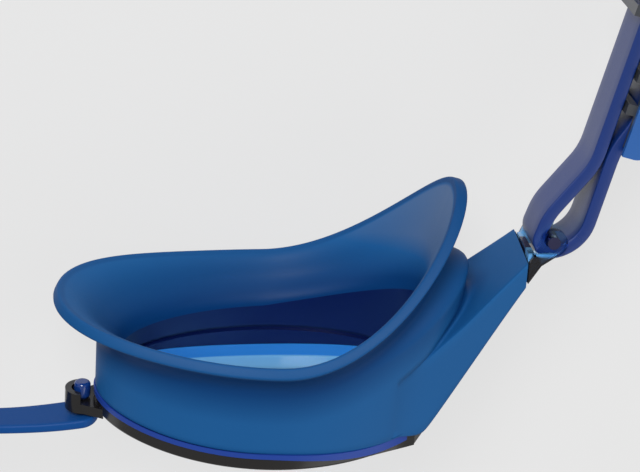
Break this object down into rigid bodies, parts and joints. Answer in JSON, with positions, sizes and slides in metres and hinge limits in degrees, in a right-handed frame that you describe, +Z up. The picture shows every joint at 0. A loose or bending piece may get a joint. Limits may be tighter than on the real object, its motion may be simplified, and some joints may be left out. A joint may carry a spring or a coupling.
{
  "type": "swim goggles",
  "caption": "Swim goggles with domed clear lenses, soft flared eye gaskets, a flexible nose bridge and a head strap folded through buckles.",
  "frame": {"origin": "centre of the bounding box's base, with the goggles standing on the cups' lower rims and the back of the strap", "axes": "+X to the wearer's left, +Y back towards the head, +Z up; the lenses face -Y"},
  "size_m": [0.2118, 0.1635, 0.0389],
  "materials": {
    "clear_blue_lens": "clear gloss",
    "smoke_frame": "dark smoke gloss",
    "royal_ring": "satin",
    "blue_silicone": "soft matte",
    "strap_silicone": "satin",
    "clear_blue_clip": "clear gloss",
    "dark_pin": "gloss",
    "smoke_buckle": "smoke gloss",
    "bright_blue_cover": "gloss",
    "stud_blue": "gloss"
  },
  "bodies": {
    "bridge_and_strap": {"nose_bridge": "blue_silicone", "head_strap": "strap_silicone", "left_nose_stud": "stud_blue", "right_nose_stud": "stud_blue"},
    "left_cup": {"left_lens": "clear_blue_lens", "left_frame": "smoke_frame", "left_seat_ring": "royal_ring", "left_gasket": "blue_silicone", "left_strap_clip": "clear_blue_clip", "left_strap_pin": "dark_pin"},
    "left_buckle": {"left_buckle_frame": "smoke_buckle", "left_buckle_cover": "bright_blue_cover"},
    "right_cup": {"right_lens": "clear_blue_lens", "right_frame": "smoke_frame", "right_seat_ring": "royal_ring", "right_gasket": "blue_silicone", "right_strap_clip": "clear_blue_clip", "right_strap_pin": "dark_pin"},
    "right_buckle": {"right_buckle_frame": "smoke_buckle", "right_buckle_cover": "bright_blue_cover"}
  },
  "joints": [
    {"name": "left_cup_swivel", "type": "hinge", "parent": "bridge_and_strap", "child": "left_cup", "pos_m": [0.014, -0.07757, 0.01943], "axis": [0, 1, 0], "range_deg": [-8, 8], "stiffness_Nm_per_rad": 0.3, "deforming": ["head_strap"]},
    {"name": "left_buckle_slide", "type": "slide", "parent": "left_cup", "child": "left_buckle", "axis": [0.2622, 0.9586, -0.1108], "range_m": [0, 0.006]},
    {"name": "right_cup_swivel", "type": "hinge", "parent": "bridge_and_strap", "child": "right_cup", "pos_m": [-0.014, -0.07757, 0.01943], "axis": [0, 1, 0], "range_deg": [-8, 8], "stiffness_Nm_per_rad": 0.3, "deforming": ["head_strap"]},
    {"name": "right_buckle_slide", "type": "slide", "parent": "right_cup", "child": "right_buckle", "axis": [-0.2622, 0.9586, -0.1108], "range_m": [0, 0.006]}
  ]
}
